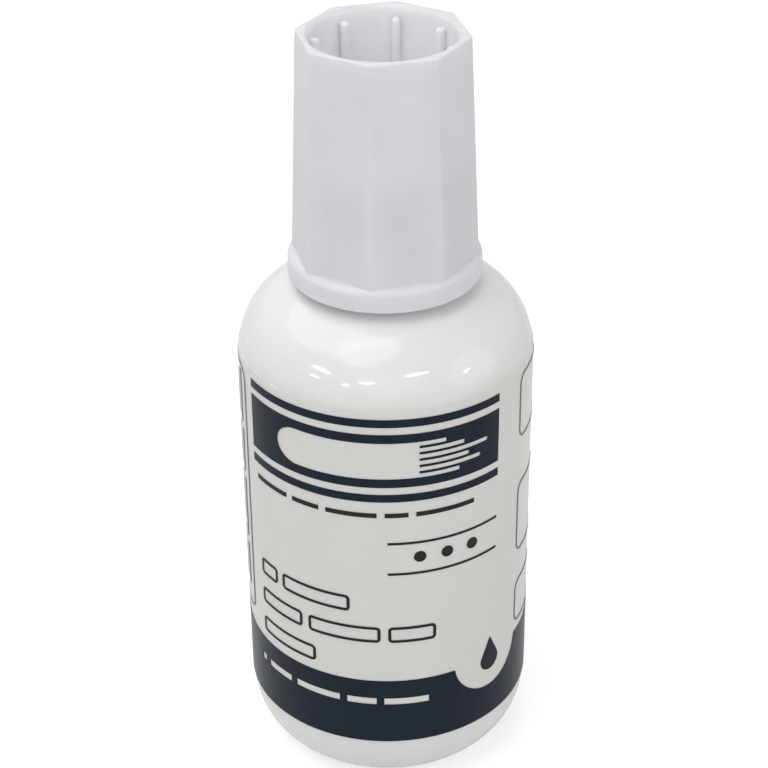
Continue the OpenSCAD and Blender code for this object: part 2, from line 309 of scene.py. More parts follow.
print("materials")


def plasticMaterial(name, look):
    # Smooth moulded, printed or wet surface with its own grain, tone and gloss
    material = bpy.data.materials.new(name)
    material.use_nodes = True
    tree = material.node_tree
    shader = tree.nodes["Principled BSDF"]
    spot = addNode(tree, "ShaderNodeTexCoord").outputs["Object"]
    grain = useGroup(tree, mouldGrain, spot, Grain_Scale=look["grainScale"],
                     Wave_Scale=look["waveScale"], Wave_Share=look["waveShare"])
    gloss = useGroup(tree, handling, spot, Scale=look["smearScale"],
                     Least=look["roughness"][0], Most=look["roughness"][1])
    tone = addNode(tree, "ShaderNodeMix", {"data_type": "RGBA"},
                   {6: (*look["shade"], 1.0), 7: (*look["colour"], 1.0)})
    spread = addNode(tree, "ShaderNodeMapRange", values={"From Min": 0.35, "From Max": 0.65},
                     links={"Value": grain.outputs["Tone"]})
    tree.links.new(spread.outputs[0], tone.inputs[0])
    colour = tone.outputs[2]
    # painted light: a paler colour near the axis, standing in for light that shines through the walls into
    # shaded places
    if "paintedThroughLight" in look:
        paintedLight = look["paintedThroughLight"]
        near = useGroup(tree, nearAxis, spot, Radius=paintedLight["radius"] * mm, Height=paintedLight["height"] * mm,
                        Softness=paintedLight["softness"] * mm)
        colour = addNode(tree, "ShaderNodeMix", {"data_type": "RGBA"}, {7: (*paintedLight["colour"], 1.0)},
                         {0: near.outputs["Mask"], 6: colour}).outputs[2]
    if "palePrint" in look:
        pale = look["palePrint"]  # paler ink towards the sides and back of the label, behind a depth
        depth = addNode(tree, "ShaderNodeSeparateXYZ", links={0: spot}).outputs["Y"]
        behind = addNode(tree, "ShaderNodeMapRange", values={"From Min": pale["from"] * mm,
                                                             "From Max": pale["to"] * mm},
                         links={"Value": depth})
        colour = addNode(tree, "ShaderNodeMix", {"data_type": "RGBA"}, {7: (*pale["colour"], 1.0)},
                         {0: behind.outputs[0], 6: colour}).outputs[2]
    bump = addNode(tree, "ShaderNodeBump", values={"Distance": look["bump"] * mm, "Strength": 1.0},
                   links={"Height": grain.outputs["Height"]})
    tree.links.new(colour, shader.inputs["Base Color"])
    tree.links.new(gloss.outputs["Roughness"], shader.inputs["Roughness"])
    tree.links.new(bump.outputs["Normal"], shader.inputs["Normal"])
    for key, value in look.get("sockets", {}).items():
        shader.inputs[key].default_value = value
    return material


looks = {
    "bottlePlastic": {"colour": (0.9, 0.89, 0.87), "shade": (0.88, 0.87, 0.85), "roughness": (0.06, 0.09),
                      "grainScale": 2600.0, "waveScale": 120.0, "waveShare": 0.75, "smearScale": 110.0,
                      "bump": 0.01,
                      "sockets": {"Subsurface Weight": 0.25, "Subsurface Scale": 0.002,
                                  "Subsurface Radius": (1.0, 1.0, 0.95)},
                      # painted light: paler round the neck and the shoulder's top, where the cap's skirt
                      # shades them
                      "paintedThroughLight": {"radius": 11.0, "height": 51.5, "softness": 2.0,
                                   "colour": (0.96, 0.955, 0.94)}},
    "labelFilm": {"colour": (0.795, 0.791, 0.764), "shade": (0.785, 0.782, 0.755),
                  "roughness": (0.24, 0.27), "grainScale": 5200.0, "waveScale": 210.0,
                  "waveShare": 0.7, "smearScale": 130.0, "bump": 0.012},
    "navyInk": {"colour": (0.0135, 0.0215, 0.035), "shade": (0.012, 0.019, 0.031),
                "roughness": (0.24, 0.32), "grainScale": 6400.0, "waveScale": 210.0,
                "waveShare": 0.6, "smearScale": 130.0, "bump": 0.012,
                "sockets": {"Specular IOR Level": 0.1}},
    "greyInk": {"colour": (0.024, 0.025, 0.028), "shade": (0.02, 0.021, 0.024), "roughness": (0.26, 0.34),
                "grainScale": 6400.0, "waveScale": 210.0, "waveShare": 0.6, "smearScale": 130.0,
                "bump": 0.012, "sockets": {"Specular IOR Level": 0.12},
                "palePrint": {"from": -7.4, "to": -6.8, "colour": (0.2, 0.202, 0.206)}},
    "capPlastic": {"colour": (0.8, 0.799, 0.842), "shade": (0.785, 0.784, 0.825), "roughness": (0.32, 0.4),
                   "grainScale": 4200.0, "waveScale": 260.0, "waveShare": 0.45, "smearScale": 150.0,
                   "bump": 0.02, "sockets": {"Subsurface Weight": 0.6, "Subsurface Scale": 0.0025,
                                             "Subsurface Radius": (1.0, 1.0, 1.0)},
                   # painted light: paler inside the well above the deck, where its walls shade each other
                   "paintedThroughLight": {"radius": 7.15, "height": 66.0, "softness": 0.5,
                                "colour": (0.95, 0.955, 0.97)}},
    "wiperPlastic": {"colour": (0.82, 0.83, 0.825), "shade": (0.78, 0.79, 0.785), "roughness": (0.3, 0.4),
                     "grainScale": 5200.0, "waveScale": 300.0, "waveShare": 0.5, "smearScale": 300.0,
                     "bump": 0.015},
    "stemPlastic": {"colour": (0.84, 0.845, 0.84), "shade": (0.8, 0.805, 0.8), "roughness": (0.25, 0.35),
                    "grainScale": 5200.0, "waveScale": 300.0, "waveShare": 0.5, "smearScale": 300.0,
                    "bump": 0.015},
    "whiteFluid": {"colour": (0.84, 0.84, 0.825), "shade": (0.81, 0.81, 0.795), "roughness": (0.1, 0.16),
                   "grainScale": 700.0, "waveScale": 180.0, "waveShare": 0.8, "smearScale": 200.0,
                   "bump": 0.05},
    "linerFoam": {"colour": (0.78, 0.77, 0.72), "shade": (0.68, 0.67, 0.62), "roughness": (0.6, 0.75),
                  "grainScale": 3000.0, "waveScale": 2200.0, "waveShare": 0.4, "smearScale": 300.0,
                  "bump": 0.06},
    "bristleNylon": {"colour": (0.94, 0.935, 0.915), "shade": (0.88, 0.87, 0.84), "roughness": (0.22, 0.34),
                     "grainScale": 9000.0, "waveScale": 800.0, "waveShare": 0.4, "smearScale": 500.0,
                     "bump": 0.01},
    "ballSteel": {"colour": (0.62, 0.62, 0.63), "shade": (0.55, 0.55, 0.56), "roughness": (0.12, 0.2),
                  "grainScale": 5000.0, "waveScale": 500.0, "waveShare": 0.3, "smearScale": 400.0,
                  "bump": 0.01, "sockets": {"Metallic": 1.0}},
    "anchorBrass": {"colour": (0.72, 0.54, 0.26), "shade": (0.62, 0.45, 0.2), "roughness": (0.25, 0.35),
                    "grainScale": 6000.0, "waveScale": 900.0, "waveShare": 0.3, "smearScale": 900.0,
                    "bump": 0.01, "sockets": {"Metallic": 1.0}},
}
materials = {name: plasticMaterial(name, look) for name, look in looks.items()}


def place(name, mesh, material, body, replaced=None):
    # Puts a finished mesh in the scene with its finish, its body and what it stands for
    mesh.materials.clear()
    mesh.materials.append(materials[material])
    piece = addObject(name, mesh)
    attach(piece, body)
    if replaced:
        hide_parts(*replaced)
    return piece


print("node trees")
geometrySocket = "NodeSocketGeometry"
intSocket = "NodeSocketInt"
materialSocket = "NodeSocketMaterial"


def newTree(name, inputs):
    return newGroup(name, "GeometryNodeTree", [("Geometry", geometrySocket, None)] + inputs
                    + [("Material", materialSocket, None)], [("Geometry", geometrySocket)])


def endTree(tree, start, geometry):
    real = addNode(tree, "GeometryNodeRealizeInstances", links={"Geometry": geometry})
    painted = addNode(tree, "GeometryNodeSetMaterial",
                      links={"Geometry": real.outputs[0], "Material": start.outputs["Material"]})
    end = addNode(tree, "NodeGroupOutput")
    tree.links.new(painted.outputs[0], end.inputs["Geometry"])


def runTree(name, tree, values, base=None):
    # Evaluates a tree on a mesh and returns the plain result
    worker = addObject(name + "_maker", base or bpy.data.meshes.new(name + "_maker"))
    modifier = worker.modifiers.new("maker", "NODES")
    modifier.node_group = tree
    for socket in tree.interface.items_tree:
        if socket.in_out == "INPUT" and socket.name in values:
            modifier[socket.identifier] = values[socket.name]
    graph = bpy.context.evaluated_depsgraph_get()
    mesh = bpy.data.meshes.new_from_object(worker.evaluated_get(graph))
    worker.modifiers.clear()
    bpy.data.objects.remove(worker)
    mesh.name = name
    return mesh


def makeFlatsOnRound():
    # Pushes a turned shape out to a polygon with soft corners, where "apothem" is above 0
    tree = newTree("flatsOnRound", [
        ("Flats", intSocket, 8), ("First Corner", floatSocket, 0.0), ("Corner Reach", floatSocket, 1.07),
        ("Corner Softness", floatSocket, 0.02), ("Join Softness", floatSocket, 0.0003)])
    start = addNode(tree, "NodeGroupInput")
    position = addNode(tree, "GeometryNodeInputPosition")
    parts = addNode(tree, "ShaderNodeSeparateXYZ", links={0: position.outputs[0]})
    x, y, z = parts.outputs
    apothem = addNode(tree, "GeometryNodeInputNamedAttribute", {"data_type": "FLOAT"},
                      {"Name": "apothem"}).outputs[0]
    radius = mathNode(tree, "SQRT", mathNode(tree, "ADD", mathNode(tree, "MULTIPLY", x, x),
                                             mathNode(tree, "MULTIPLY", y, y)))
    angle = mathNode(tree, "SUBTRACT", mathNode(tree, "ARCTAN2", y, x), start.outputs["First Corner"])
    share = mathNode(tree, "DIVIDE", mathNode(tree, "MULTIPLY", angle, start.outputs["Flats"]), fullTurn)
    side = mathNode(tree, "SUBTRACT", mathNode(tree, "FRACT", mathNode(tree, "ADD", share, 64.0)), 0.5)
    turn = mathNode(tree, "DIVIDE", mathNode(tree, "MULTIPLY", side, fullTurn), start.outputs["Flats"])
    flat = mathNode(tree, "DIVIDE", 1.0, mathNode(tree, "COSINE", turn))
    soft = mathNode(tree, "SMOOTH_MIN", flat, start.outputs["Corner Reach"],
                    start.outputs["Corner Softness"])
    target = mathNode(tree, "MULTIPLY", apothem, soft)
    wanted = mathNode(tree, "SMOOTH_MAX", radius, target, start.outputs["Join Softness"])
    scale = mathNode(tree, "DIVIDE", wanted, radius)
    moved = addNode(tree, "ShaderNodeCombineXYZ", links={
        0: mathNode(tree, "MULTIPLY", x, scale), 1: mathNode(tree, "MULTIPLY", y, scale), 2: z})
    pushed = addNode(tree, "GeometryNodeSetPosition", links={
        "Geometry": start.outputs["Geometry"], "Selection": mathNode(tree, "GREATER_THAN", apothem, 0.0),
        "Position": moved.outputs[0]})
    endTree(tree, start, pushed.outputs[0])
    return tree


def makeRingOfCopies():
    # Repeats the shape round the axis
    tree = newTree("ringOfCopies", [("Count", intSocket, 8), ("First Angle", floatSocket, 0.0)])
    start = addNode(tree, "NodeGroupInput")
    points = addNode(tree, "GeometryNodePoints", links={"Count": start.outputs["Count"]})
    index = addNode(tree, "GeometryNodeInputIndex").outputs[0]
    step = mathNode(tree, "DIVIDE", fullTurn, start.outputs["Count"])
    angle = mathNode(tree, "MULTIPLY_ADD", index, step, start.outputs["First Angle"])
    turned = addNode(tree, "ShaderNodeCombineXYZ", links={2: angle})
    copies = addNode(tree, "GeometryNodeInstanceOnPoints", links={
        "Points": points.outputs[0], "Instance": start.outputs["Geometry"], "Rotation": turned.outputs[0]})
    endTree(tree, start, copies.outputs[0])
    return tree


def makeThreadTurns():
    # A round thread that climbs the axis and fades out at both ends
    tree = newTree("threadTurns", [
        ("Turns", floatSocket, 1.5), ("Radius", floatSocket, 0.006), ("Rise", floatSocket, 0.0045),
        ("Foot", floatSocket, 0.05), ("Ridge", floatSocket, 0.0005), ("Fade", floatSocket, 0.08)])
    start = addNode(tree, "NodeGroupInput")
    spiral = addNode(tree, "GeometryNodeCurveSpiral", values={"Resolution": 96}, links={
        "Rotations": start.outputs["Turns"], "Start Radius": start.outputs["Radius"],
        "End Radius": start.outputs["Radius"], "Height": start.outputs["Rise"]})
    along = addNode(tree, "GeometryNodeSplineParameter").outputs["Factor"]
    toEnd = mathNode(tree, "MINIMUM", along, mathNode(tree, "SUBTRACT", 1.0, along))
    fade = addNode(tree, "ShaderNodeMapRange", {"interpolation_type": "SMOOTHSTEP"}, {"To Min": 0.02},
                   {"Value": toEnd, "From Max": start.outputs["Fade"]}).outputs[0]
    section = addNode(tree, "GeometryNodeCurvePrimitiveCircle", values={"Resolution": 14},
                      links={"Radius": start.outputs["Ridge"]})
    swept = addNode(tree, "GeometryNodeCurveToMesh", values={"Fill Caps": True}, links={
        "Curve": spiral.outputs[0], "Profile Curve": section.outputs[0], "Scale": fade})
    lift = addNode(tree, "ShaderNodeCombineXYZ", links={2: start.outputs["Foot"]})
    raised = addNode(tree, "GeometryNodeTransform",
                     links={"Geometry": swept.outputs[0], "Translation": lift.outputs[0]})
    endTree(tree, start, raised.outputs[0])
    return tree


def makeBristleTuft():
    # Filaments that leave a small round root, swell to a belly and close to a tip
    tree = newTree("bristleTuft", [
        ("Filaments", intSocket, 260), ("Root Radius", floatSocket, 0.0012),
        ("Belly Radius", floatSocket, 0.0019), ("Tip Radius", floatSocket, 0.0007),
        ("Root Height", floatSocket, 0.02), ("Length", floatSocket, 0.0125),
        ("Filament Radius", floatSocket, 0.00006), ("Uneven Length", floatSocket, 0.06),
        ("Stray", floatSocket, 0.00008), ("Seed", intSocket, 7)])
    start = addNode(tree, "NodeGroupInput")
    index = addNode(tree, "GeometryNodeInputIndex").outputs[0]
    points = addNode(tree, "GeometryNodePoints", links={"Count": start.outputs["Filaments"]})
    goldenTurn = 2.39996
    spot = mathNode(tree, "MULTIPLY", index, goldenTurn)
    spread = mathNode(tree, "SQRT", mathNode(tree, "DIVIDE", mathNode(tree, "ADD", index, 0.5),
                                             start.outputs["Filaments"]))
    uneven = addNode(tree, "FunctionNodeRandomValue", {"data_type": "FLOAT"},
                     links={"ID": index, "Seed": start.outputs["Seed"]}).outputs[1]
    shorter = mathNode(tree, "SUBTRACT", 1.0,
                       mathNode(tree, "MULTIPLY", uneven, start.outputs["Uneven Length"]))
    stored = points.outputs[0]
    for label, field in (("spot", spot), ("spread", spread), ("reach", shorter)):
        stored = addNode(tree, "GeometryNodeStoreNamedAttribute",
                         {"data_type": "FLOAT", "domain": "POINT"}, {"Name": label},
                         {"Geometry": stored, "Value": field}).outputs[0]
    line = addNode(tree, "GeometryNodeCurvePrimitiveLine", values={"Start": (0, 0, 0), "End": (0, 0, -1)})
    fine = addNode(tree, "GeometryNodeResampleCurve", values={"Count": 11},
                   links={"Curve": line.outputs[0]})
    copies = addNode(tree, "GeometryNodeInstanceOnPoints",
                     links={"Points": stored, "Instance": fine.outputs[0]})
    real = addNode(tree, "GeometryNodeRealizeInstances", links={"Geometry": copies.outputs[0]})

    def stay(label):
        return addNode(tree, "GeometryNodeInputNamedAttribute", {"data_type": "FLOAT"},
                       {"Name": label}).outputs[0]

    along = mathNode(tree, "MULTIPLY", addNode(tree, "GeometryNodeSplineParameter").outputs["Factor"],
                     stay("reach"))
    opening = addNode(tree, "ShaderNodeMapRange", {"interpolation_type": "SMOOTHSTEP"}, {"From Max": 0.5},
                      {"Value": along, "To Min": start.outputs["Root Radius"],
                       "To Max": start.outputs["Belly Radius"]}).outputs[0]
    closing = addNode(tree, "ShaderNodeMapRange", {"interpolation_type": "SMOOTHSTEP"},
                      {"From Min": 0.52, "From Max": 1.08},
                      {"Value": along, "To Max": mathNode(tree, "SUBTRACT", start.outputs["Belly Radius"],
                                                          start.outputs["Tip Radius"])}).outputs[0]
    envelope = mathNode(tree, "SUBTRACT", opening, closing)
    radial = mathNode(tree, "MULTIPLY", envelope, stay("spread"))
    wander = addNode(tree, "ShaderNodeTexNoise", {"noise_dimensions": "2D"}, {"Scale": 3.0}, {
        "Vector": addNode(tree, "ShaderNodeCombineXYZ", links={0: stay("spot"), 1: along}).outputs[0]})
    drift = mathNode(tree, "MULTIPLY", mathNode(tree, "SUBTRACT", wander.outputs[0], 0.5),
                     mathNode(tree, "MULTIPLY", along, start.outputs["Stray"]))
    radius = mathNode(tree, "ADD", radial, drift)
    moved = addNode(tree, "ShaderNodeCombineXYZ", links={
        0: mathNode(tree, "MULTIPLY", radius, mathNode(tree, "COSINE", stay("spot"))),
        1: mathNode(tree, "MULTIPLY", radius, mathNode(tree, "SINE", stay("spot"))),
        2: mathNode(tree, "SUBTRACT", start.outputs["Root Height"],
                    mathNode(tree, "MULTIPLY", along, start.outputs["Length"]))})
    shaped = addNode(tree, "GeometryNodeSetPosition",
                     links={"Geometry": real.outputs[0], "Position": moved.outputs[0]})
    section = addNode(tree, "GeometryNodeCurvePrimitiveCircle", values={"Resolution": 5},
                      links={"Radius": start.outputs["Filament Radius"]})
    swept = addNode(tree, "GeometryNodeCurveToMesh", values={"Fill Caps": True}, links={
        "Curve": shaped.outputs[0], "Profile Curve": section.outputs[0]})
    endTree(tree, start, swept.outputs[0])
    return tree


flatsOnRound = makeFlatsOnRound()
ringOfCopies = makeRingOfCopies()
threadTurns = makeThreadTurns()
bristleTuft = makeBristleTuft()

print("bottle")
bottleHigh = nodeBox("bottle")[1]
bottleSizes = {
    "columns": 360,
    "radius": bottleHigh[0],
    "neckTop": bottleHigh[2],
    "footRound": 6.8,
    "sideTop": 46.0,
    "shoulderRound": 7.5,
    "wall": 1.1,
    "hollow": 0.5,
    "hollowRadius": 5.5,
    "neckRadius": 6.0,
    "boreRadius": 4.9,
    "beadRadius": 6.6,
    "beadFoot": 54.7,
    "beadHeight": 0.8,
    "seamHeight": 0.035,  # how far the mould seam stands out
    "seamWidth": 0.35,
}


def bottleProfile(s):
    footCentre = (s["radius"] - s["footRound"], s["footRound"])
    topCentre = (s["radius"] - s["shoulderRound"], s["sideTop"])
    neckFoot = s["sideTop"] + s["shoulderRound"]
    bead = s["beadFoot"]
    beadTop = bead + s["beadHeight"]
    under = roundOff([(0, s["hollow"], 0), (s["hollowRadius"], s["hollow"], 0.3),
                      (s["hollowRadius"] + 0.1, 0, 0.25), (footCentre[0], 0, 0)])
    foot = arc(footCentre, s["footRound"], -90, 0, 28)
    side = [(s["radius"], s["footRound"] + (s["sideTop"] - s["footRound"]) * i / 12) for i in range(1, 12)]
    shoulder = arc(topCentre, s["shoulderRound"], 0, 88, 34)
    neck = roundOff([(topCentre[0], neckFoot, 0), (s["neckRadius"], neckFoot, 0.45),
                     (s["neckRadius"], bead, 0.2), (s["beadRadius"], bead, 0.25),
                     (s["beadRadius"], beadTop, 0.25), (s["neckRadius"], beadTop, 0.2),
                     (s["neckRadius"], s["neckTop"], 0.3), (s["boreRadius"], s["neckTop"], 0.25),
                     (s["boreRadius"], neckFoot - s["wall"], 0.3), (topCentre[0], neckFoot - s["wall"], 0)])
    innerShoulder = arc(topCentre, s["shoulderRound"] - s["wall"], 88, 0, 16)
    innerFoot = arc(footCentre, s["footRound"] - s["wall"], 0, -90, 14)
    floorEdge = s["hollowRadius"] + s["wall"]
    inside = [(floorEdge, s["wall"]), (floorEdge, s["wall"] + s["hollow"]), (0, s["wall"] + s["hollow"])]
    return under + foot[1:] + side + shoulder + neck + innerShoulder + innerFoot + inside


def mouldSeam(s):
    # The two halves of the mould leave a fine ridge on the left and right of the outside
    highest = s["sideTop"] + s["shoulderRound"]
    nearest = s["hollowRadius"] + 1
    standing = 0.01  # the foot's own flat ring stays flat

    def bulge(angle, r, z):
        if r <= nearest or not standing < z < highest:
            return 0.0
        away = abs(sin(angle)) * s["radius"]
        return s["seamHeight"] * max(0.0, 1 - away / s["seamWidth"])

    return bulge


bottleMesh = closeMesh(lathe("bottleShell", bottleProfile(bottleSizes), bottleSizes["columns"],
                             mouldSeam(bottleSizes)))
place("bottleShell", bottleMesh, "bottlePlastic", "bottle_body", ["bottle"])

neckThread = {"Turns": 1.6, "Radius": 5.95 * mm, "Rise": 4.8 * mm, "Foot": 57.6 * mm, "Ridge": 0.55 * mm,
              "Fade": 0.09, "Material": materials["bottlePlastic"]}
neckThreadMesh = closeMesh(runTree("neckThread", threadTurns, neckThread))
place("neckThread", neckThreadMesh, "bottlePlastic", "bottle_body")

print("label and print")
labelLow, labelHigh = nodeBox("label")
labelSizes = {
    "steps": 358,
    "bendStep": 0.2,
    "bendSteps": 5,
    "foot": labelLow[2],
    "top": labelHigh[2],
    "sunk": 0.01,
    "thick": 0.08,
    "gap": 2.0,  # degrees left open at the back
}


def labelSection(s):
    # Straight up the side, then in with the shoulder, and the same way back down inside
    def side(out):
        rise = [s["top"] - bottleSizes["sideTop"] - s["bendStep"] * i
                for i in range(s["bendSteps"], -1, -1)]
        reach = bottleSizes["shoulderRound"] + out
        centre = bottleSizes["radius"] - bottleSizes["shoulderRound"]
        return [(bottleSizes["radius"] + out, s["foot"])] + [
            (centre + sqrt(reach ** 2 - max(h, 0.0) ** 2), bottleSizes["sideTop"] + h) for h in rise]

    return side(s["thick"]) + side(-s["sunk"])[::-1]


def makeLabel(s):
    back = 90
    return closeMesh(curvedSheet("labelFilm", back + s["gap"] / 2, back + 360 - s["gap"] / 2,
                                 labelSection(s), s["steps"]))


def roundInk(node):
    # A copy of an imported ink, shaded as the true round of the label and not by its long triangles
    mesh = mergedCopy(node)
    sideTop = bottleSizes["sideTop"] * mm
    bendRadius = (bottleSizes["radius"] - bottleSizes["shoulderRound"]) * mm
    facingOut = 0.7
    normals = []
    for face in mesh.polygons:
        for i in face.vertices:
            x, y, z = mesh.vertices[i].co
            away = Vector((x, y, 0)).normalized()
            if z > sideTop:
                away *= Vector((x, y)).length - bendRadius
                away.z = z - sideTop
                away.normalize()
            facing = face.normal.dot(away)
            normals.append(away * facing if abs(facing) > facingOut else face.normal)
    mesh.normals_split_custom_set([n.normalized() for n in normals])
    return mesh


place("labelSheet", makeLabel(labelSizes), "labelFilm", "bottle_body", ["label"])
place("navyPrint", roundInk("label_print"), "navyInk", "bottle_body", ["label_print"])
place("greyPrint", roundInk("label_marks"), "greyInk", "bottle_body", ["label_marks"])

print("wiper, fluid and ball")
wiperLow, wiperHigh = nodeBox("neck_wiper")
wiperSizes = {
    "foot": wiperLow[2],
    "top": wiperHigh[2],
    "flange": 5.9,
    "flangeThick": 0.7,
    "tube": 4.9,
    "tubeWall": 0.9,
    "lip": 0.7,
    "hole": 2.4,
    "holeEase": 0.1,
    "lipEase": 0.5,
    "lipEdge": 0.15,
}


def wiperProfile(s):
    seat = s["top"] - s["flangeThick"]
    bore = s["tube"] - s["tubeWall"]
    lipTop = s["foot"] + s["lip"]
    start = (s["hole"] + s["holeEase"], s["foot"], 0)
    return roundOff([start, (s["tube"], s["foot"], 0.3), (s["tube"], seat, 0.1),
                     (s["flange"], seat, 0.15), (s["flange"], s["top"], 0.25), (bore, s["top"], 0.35),
                     (bore, lipTop, 0.4), (s["hole"] + s["lipEase"], lipTop, 0.3),
                     (s["hole"], s["foot"] + s["lipEdge"], 0.1), start])[:-1]


place("wiperCup", closeMesh(lathe("wiperCup", wiperProfile(wiperSizes), 128)), "wiperPlastic",
      "bottle_body", ["neck_wiper"])
place("fluidFill", mergedCopy("correction_fluid"), "whiteFluid", "bottle_body",
      ["correction_fluid"])
place("mixingBall", mergedCopy("mixing_ball"), "ballSteel", "bottle_body", ["mixing_ball"])

print("cap")
capLow, capHigh = nodeBox("cap")
capSizes = {
    "foot": capLow[2],
    "rim": capHigh[2],
    "skirt": capHigh[0],
    "skirtHeight": 2.3,
    "skirtSide": 0.8,
    "skirtEase": 0.7,
    "joinStart": 0.02,  # the crease where the flats rise out of the skirt
    "joinIn": 0.5,
    "joinRise": 0.6,
    "gripStart": 0.8,
    "gripLevels": 24,
    "hiddenRadius": 6.0,  # inside the flats, which the node tree pushes this far part out to
    "footApothem": 8.45,
    "rimApothem": 7.6,
    "rimEase": 0.18,
    "wellRim": 6.85,
    "wellFloor": 6.55,
    "mouthFlare": 0.35,
    "mouthDepth": 0.8,
    "wellStep": 0.06,
    "wellEase": 0.3,
    "deckTop": 66.8,
    "deckFoot": 65.6,
    "socket": 6.95,
    "leadIn": 7.75,
    "leadInHeight": 1.5,
    "plug": 1.6,
    "plugTop": 68.8,
    "bossRadius": 2.6,
    "bossTop": 69.8,
    "gateRadius": 0.55,  # the dimple that the mould's gate leaves on the boss
    "gateDepth": 0.16,
    "flats": 8,
    "firstCorner": 36.5,
    "cornerReach": 1.075,
    "cornerSoftness": 0.008,
    "joinSoftness": 0.12,
    "columns": 384,
}


def capOutside(s):
    # Profile points (r, z, apothem) up the skirt and the grip
    gripFoot = s["foot"] + s["skirtHeight"]
    rise = s["rim"] - gripFoot

    def apothem(z):
        return s["footApothem"] + (s["rimApothem"] - s["footApothem"]) * (z - gripFoot) / rise

    edge = s["skirt"] - s["skirtEase"]
    low = roundOff([(s["leadIn"], s["foot"], 0), (s["skirt"], s["foot"], 0.2),
                    (s["skirt"], s["foot"] + s["skirtSide"], 0)])
    bend = arc((edge, gripFoot - s["skirtEase"]), s["skirtEase"], 0, 90, 18)
    join = [(edge - s["joinStart"] - s["joinIn"] * t, gripFoot + s["joinStart"] + s["joinRise"] * t * t)
            for t in (0.1, 0.2, 0.35, 0.55, 0.8, 1)]
    top = s["rim"] - s["rimEase"]
    wall = [(s["hiddenRadius"], z) for z in np.linspace(gripFoot + s["gripStart"], top, s["gripLevels"])]
    turns = [radians(9 * i) for i in range(1, 11)]
    ease = [(s["hiddenRadius"], top + s["rimEase"] * sin(t), apothem(top) - s["rimEase"] * (1 - cos(t)))
            for t in turns]
    return [(r, z, 0.0) for r, z in low] + [(r, z, apothem(z)) for r, z in bend + join + wall] + ease


def capInside(s):
    # Profile points from the rim down the well and over the boss to the axis
    mouth = s["wellRim"] + s["mouthFlare"]
    gateFloor = s["bossTop"] - s["gateDepth"]
    well = roundOff([(mouth + s["wellStep"], s["rim"], 0), (mouth, s["rim"], 0.1),
                     (s["wellRim"] + s["wellStep"], s["rim"] - 0.4 * s["mouthDepth"], 0.3),
                     (s["wellRim"] - 0.02, s["rim"] - s["mouthDepth"], 0.3),
                     (s["wellFloor"], s["deckTop"], s["wellEase"]), (s["bossRadius"], s["deckTop"], 0.35),
                     (s["bossRadius"], s["bossTop"], 0.3), (s["gateRadius"], s["bossTop"], 0.12),
                     (s["gateRadius"] - 0.1, gateFloor + 0.02, 0.1), (0, gateFloor, 0)], 7)
    return [(r, z, 0.0) for r, z in well]


def socketProfile(s):
    # Profile points from the top of the stem's hole down to the deck, then out and down the socket
    leadInTop = s["foot"] + s["leadInHeight"]
    inside = roundOff([(0, s["plugTop"], 0), (s["plug"], s["plugTop"], 0.1),
                       (s["plug"], s["deckFoot"], 0.15), (s["socket"], s["deckFoot"], 0.3),
                       (s["socket"], leadInTop, 0.15), (s["leadIn"], leadInTop, 0.15),
                       (s["leadIn"], s["foot"], 0)])
    return [(r, z, 0.0) for r, z in inside]


def makeCapShell(s):
    columns = s["columns"]
    profile = socketProfile(s)[:-1] + capOutside(s) + capInside(s)
    mesh = lathe("capShell", [(r, z) for r, z, _ in profile], columns)
    field = mesh.attributes.new("apothem", "FLOAT", "POINT")
    values = []
    for r, z, flat in profile:
        values += [flat * mm] * (1 if r < onAxis else columns)
    field.data.foreach_set("value", values)
    shaped = runTree("capShell", flatsOnRound, {
        "Flats": s["flats"], "First Corner": radians(s["firstCorner"]),
        "Corner Reach": s["cornerReach"], "Corner Softness": s["cornerSoftness"],
        "Join Softness": s["joinSoftness"] * mm,
        "Material": materials["capPlastic"]}, mesh)
    return closeMesh(shaped)


ribSizes = {"ribs": 8, "firstRib": 34, "halfWidth": 0.4, "nose": 6.3, "root": 7.2, "top": 77.1,
            "foot": 66.6}


def makeRib(s):
    # One rib at direction 0: a round nose towards the axis and a rounded top
    sections = [(s["foot"], s["halfWidth"]), (s["top"], s["halfWidth"])]
    sections += [(s["top"] + s["halfWidth"] * sin(radians(t)), s["halfWidth"] * cos(radians(t)))
                 for t in (15, 30, 45, 60, 72, 82, 87)]
    turns = [radians(90 + 15 * i) for i in range(13)]
    verts = []
    for z, w in sections:
        nose = [(s["nose"] + w * cos(t), w * sin(t)) for t in turns]
        outline = [(s["root"], w)] + nose + [(s["root"], -w)]
        verts += [(x * mm, y * mm, z * mm) for x, y in outline]
    n = len(turns) + 2
    faces = [list(range(n))[::-1], [n * (len(sections) - 1) + i for i in range(n)]]
    for level in range(len(sections) - 1):
        for i in range(n):
            k = (i + 1) % n
            faces.append([n * level + i, n * level + k, n * (level + 1) + k, n * (level + 1) + i])
    mesh = bpy.data.meshes.new("rib")
    mesh.from_pydata(verts, [], faces)
    return closeMesh(mesh)


place("capShell", makeCapShell(capSizes), "capPlastic", "cap_body", ["cap"])
capRibs = runTree("capRibs", ringOfCopies, {
    "Count": ribSizes["ribs"], "First Angle": radians(ribSizes["firstRib"]),
    "Material": materials["capPlastic"]}, makeRib(ribSizes))
place("capRibs", closeMesh(capRibs), "capPlastic", "cap_body", ["cap"])
capThread = {"Turns": 1.4, "Radius": 7.1 * mm, "Rise": 4.2 * mm, "Foot": 58.4 * mm, "Ridge": 0.42 * mm,
             "Fade": 0.09, "Material": materials["capPlastic"]}
place("capThread", closeMesh(runTree("capThread", threadTurns, capThread)), "capPlastic", "cap_body",
      ["cap"])

print("liner and brush")
linerLow, linerHigh = nodeBox("cap_liner")
linerSizes = {"foot": linerLow[2], "top": linerHigh[2], "radius": linerHigh[0], "hole": 1.9}


